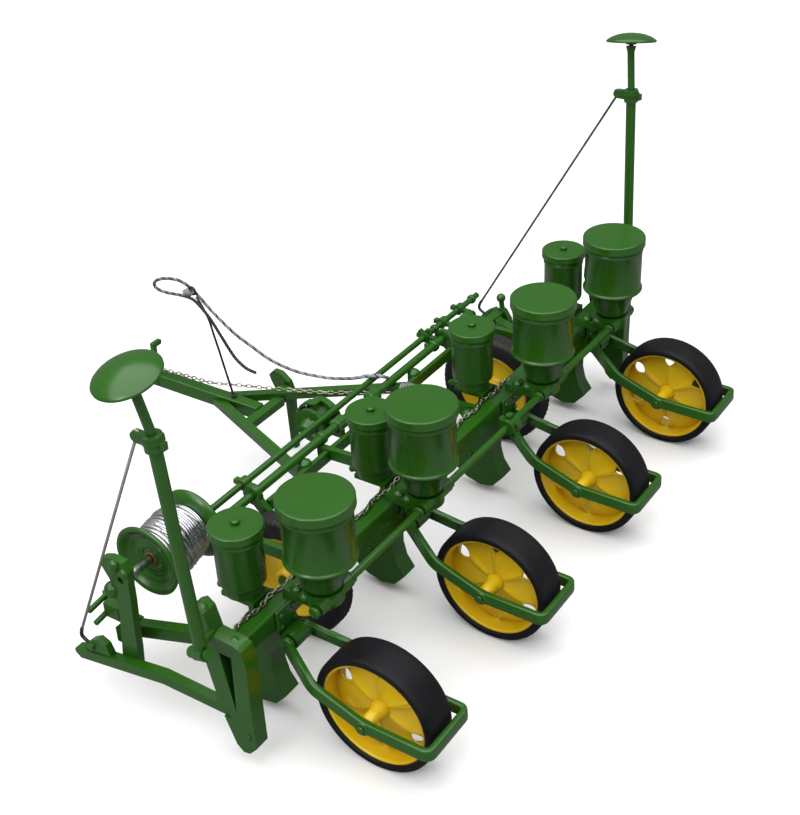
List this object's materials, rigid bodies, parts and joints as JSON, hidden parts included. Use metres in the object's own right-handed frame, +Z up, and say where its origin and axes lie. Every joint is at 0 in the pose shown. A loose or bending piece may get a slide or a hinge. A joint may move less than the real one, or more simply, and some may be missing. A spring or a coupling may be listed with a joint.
{
  "type": "corn planter",
  "caption": "Pull-type row-crop planter with twin hoppers on a square toolbar, forked press wheels, folding disc markers, wire reel and drawbar; a die-cast scale model.",
  "frame": {"origin": "on the ground under the middle of the whole machine: half way between its sides, and half way between the rear of the press wheel forks and the tip of the tongue", "axes": "+X to the machine's right, +Y forwards along the tongue, +Z up"},
  "size_m": [0.283, 0.2025, 0.1397],
  "materials": {
    "green_enamel": "glossy enamel",
    "yellow_enamel": "glossy enamel",
    "press_tyre": "smooth rubber, soft sheen",
    "tread_tyre": "treaded rubber",
    "wire": "bright drawn wire",
    "chain": "tarnished plating",
    "rope": "twisted cord",
    "black_wire": "black wire"
  },
  "bodies": {
    "frame": {"toolbar": "green_enamel", "front_frame": "green_enamel", "side_rails": "green_enamel", "end_brackets": "green_enamel", "lower_beams": "green_enamel", "rail_posts": "green_enamel", "row_bases": "green_enamel", "openers": "green_enamel", "tongue_beam": "green_enamel", "tongue_braces": "green_enamel", "clutch_drum": "green_enamel", "chains": "chain", "pull_rope": "rope", "rope_stand": "black_wire", "check_shaft": "green_enamel", "seed_hopper_1": "green_enamel", "seed_hopper_2": "green_enamel", "seed_hopper_3": "green_enamel", "seed_hopper_4": "green_enamel", "fert_hopper_1": "green_enamel", "fert_hopper_2": "green_enamel", "fert_hopper_3": "green_enamel", "fert_hopper_4": "green_enamel", "wheel_arm_left": "green_enamel", "wheel_arm_right": "green_enamel"},
    "feed_drive": {"feed_shaft": "green_enamel"},
    "reel": {"reel": "green_enamel", "wire_pack": "wire"},
    "stand": {"parking_stand": "green_enamel"},
    "press_gang_1": {"press_fork_1": "green_enamel"},
    "press_wheel_1": {"press_tyre_1": "press_tyre", "press_rim_1": "yellow_enamel"},
    "seed_cover_1": {"seed_lid_1": "green_enamel"},
    "fert_cover_1": {"fert_lid_1": "green_enamel"},
    "press_gang_2": {"press_fork_2": "green_enamel"},
    "press_wheel_2": {"press_tyre_2": "press_tyre", "press_rim_2": "yellow_enamel"},
    "seed_cover_2": {"seed_lid_2": "green_enamel"},
    "fert_cover_2": {"fert_lid_2": "green_enamel"},
    "press_gang_3": {"press_fork_3": "green_enamel"},
    "press_wheel_3": {"press_tyre_3": "press_tyre", "press_rim_3": "yellow_enamel"},
    "seed_cover_3": {"seed_lid_3": "green_enamel"},
    "fert_cover_3": {"fert_lid_3": "green_enamel"},
    "press_gang_4": {"press_fork_4": "green_enamel"},
    "press_wheel_4": {"press_tyre_4": "press_tyre", "press_rim_4": "yellow_enamel"},
    "seed_cover_4": {"seed_lid_4": "green_enamel"},
    "fert_cover_4": {"fert_lid_4": "green_enamel"},
    "carry_wheel_left": {"carry_tyre_left": "tread_tyre", "carry_rim_left": "yellow_enamel"},
    "marker_left": {"marker_arm_left": "green_enamel", "stay_wire_left": "wire"},
    "disc_left": {"marker_disc_left": "green_enamel"},
    "carry_wheel_right": {"carry_tyre_right": "tread_tyre", "carry_rim_right": "yellow_enamel"},
    "marker_right": {"marker_arm_right": "green_enamel", "stay_wire_right": "wire"},
    "disc_right": {"marker_disc_right": "green_enamel"}
  },
  "joints": [
    {"name": "feed_spin", "type": "hinge", "parent": "frame", "child": "feed_drive", "pos_m": [0, -0.05995, 0.0477], "axis": [1, 0, 0], "continuous": true},
    {"name": "reel_spin", "type": "hinge", "parent": "frame", "child": "reel", "pos_m": [-0.089, 0.00175, 0.0415], "axis": [1, 0, 0], "continuous": true},
    {"name": "stand_fold", "type": "hinge", "parent": "frame", "child": "stand", "pos_m": [0.0183, 0.03985, 0.0264], "axis": [1, 0, 0], "range_deg": [0, 85]},
    {"name": "press_float_1", "type": "hinge", "parent": "frame", "child": "press_gang_1", "pos_m": [-0.09525, -0.04975, 0.0324], "axis": [-1, 0, 0], "range_deg": [0, 12]},
    {"name": "press_spin_1", "type": "hinge", "parent": "press_gang_1", "child": "press_wheel_1", "pos_m": [-0.09525, -0.07875, 0.0197], "axis": [1, 0, 0], "continuous": true},
    {"name": "seed_lid_lift_1", "type": "slide", "parent": "frame", "child": "seed_cover_1", "axis": [0, 0, 1], "range_m": [0, 0.03]},
    {"name": "fert_lid_lift_1", "type": "slide", "parent": "frame", "child": "fert_cover_1", "axis": [0, 0, 1], "range_m": [0, 0.03]},
    {"name": "press_float_2", "type": "hinge", "parent": "frame", "child": "press_gang_2", "pos_m": [-0.03175, -0.04975, 0.0324], "axis": [-1, 0, 0], "range_deg": [0, 12]},
    {"name": "press_spin_2", "type": "hinge", "parent": "press_gang_2", "child": "press_wheel_2", "pos_m": [-0.03175, -0.07875, 0.0197], "axis": [1, 0, 0], "continuous": true},
    {"name": "seed_lid_lift_2", "type": "slide", "parent": "frame", "child": "seed_cover_2", "axis": [0, 0, 1], "range_m": [0, 0.03]},
    {"name": "fert_lid_lift_2", "type": "slide", "parent": "frame", "child": "fert_cover_2", "axis": [0, 0, 1], "range_m": [0, 0.03]},
    {"name": "press_float_3", "type": "hinge", "parent": "frame", "child": "press_gang_3", "pos_m": [0.03175, -0.04975, 0.0324], "axis": [-1, 0, 0], "range_deg": [0, 12]},
    {"name": "press_spin_3", "type": "hinge", "parent": "press_gang_3", "child": "press_wheel_3", "pos_m": [0.03175, -0.07875, 0.0197], "axis": [1, 0, 0], "continuous": true},
    {"name": "seed_lid_lift_3", "type": "slide", "parent": "frame", "child": "seed_cover_3", "axis": [0, 0, 1], "range_m": [0, 0.03]},
    {"name": "fert_lid_lift_3", "type": "slide", "parent": "frame", "child": "fert_cover_3", "axis": [0, 0, 1], "range_m": [0, 0.03]},
    {"name": "press_float_4", "type": "hinge", "parent": "frame", "child": "press_gang_4", "pos_m": [0.09525, -0.04975, 0.0324], "axis": [-1, 0, 0], "range_deg": [0, 12]},
    {"name": "press_spin_4", "type": "hinge", "parent": "press_gang_4", "child": "press_wheel_4", "pos_m": [0.09525, -0.07875, 0.0197], "axis": [1, 0, 0], "continuous": true},
    {"name": "seed_lid_lift_4", "type": "slide", "parent": "frame", "child": "seed_cover_4", "axis": [0, 0, 1], "range_m": [0, 0.03]},
    {"name": "fert_lid_lift_4", "type": "slide", "parent": "frame", "child": "fert_cover_4", "axis": [0, 0, 1], "range_m": [0, 0.03]},
    {"name": "carry_spin_left", "type": "hinge", "parent": "frame", "child": "carry_wheel_left", "pos_m": [-0.0635, -0.02285, 0.0215], "axis": [1, 0, 0], "continuous": true},
    {"name": "marker_fold_left", "type": "hinge", "parent": "frame", "child": "marker_left", "pos_m": [-0.128, -0.04475, 0.049], "axis": [-0.1578, -0.8997, 0.4071], "range_deg": [0, 110]},
    {"name": "disc_spin_left", "type": "hinge", "parent": "marker_left", "child": "disc_left", "pos_m": [-0.133, -0.04005, 0.1376], "axis": [-0.2353, 0.1051, 0.9662], "continuous": true},
    {"name": "carry_spin_right", "type": "hinge", "parent": "frame", "child": "carry_wheel_right", "pos_m": [0.0635, -0.02285, 0.0215], "axis": [1, 0, 0], "continuous": true},
    {"name": "marker_fold_right", "type": "hinge", "parent": "frame", "child": "marker_right", "pos_m": [0.128, -0.04475, 0.049], "axis": [-0.1578, 0.8997, -0.4071], "range_deg": [0, 110]},
    {"name": "disc_spin_right", "type": "hinge", "parent": "marker_right", "child": "disc_right", "pos_m": [0.133, -0.04005, 0.1376], "axis": [0.2353, 0.1051, 0.9662], "continuous": true}
  ]
}
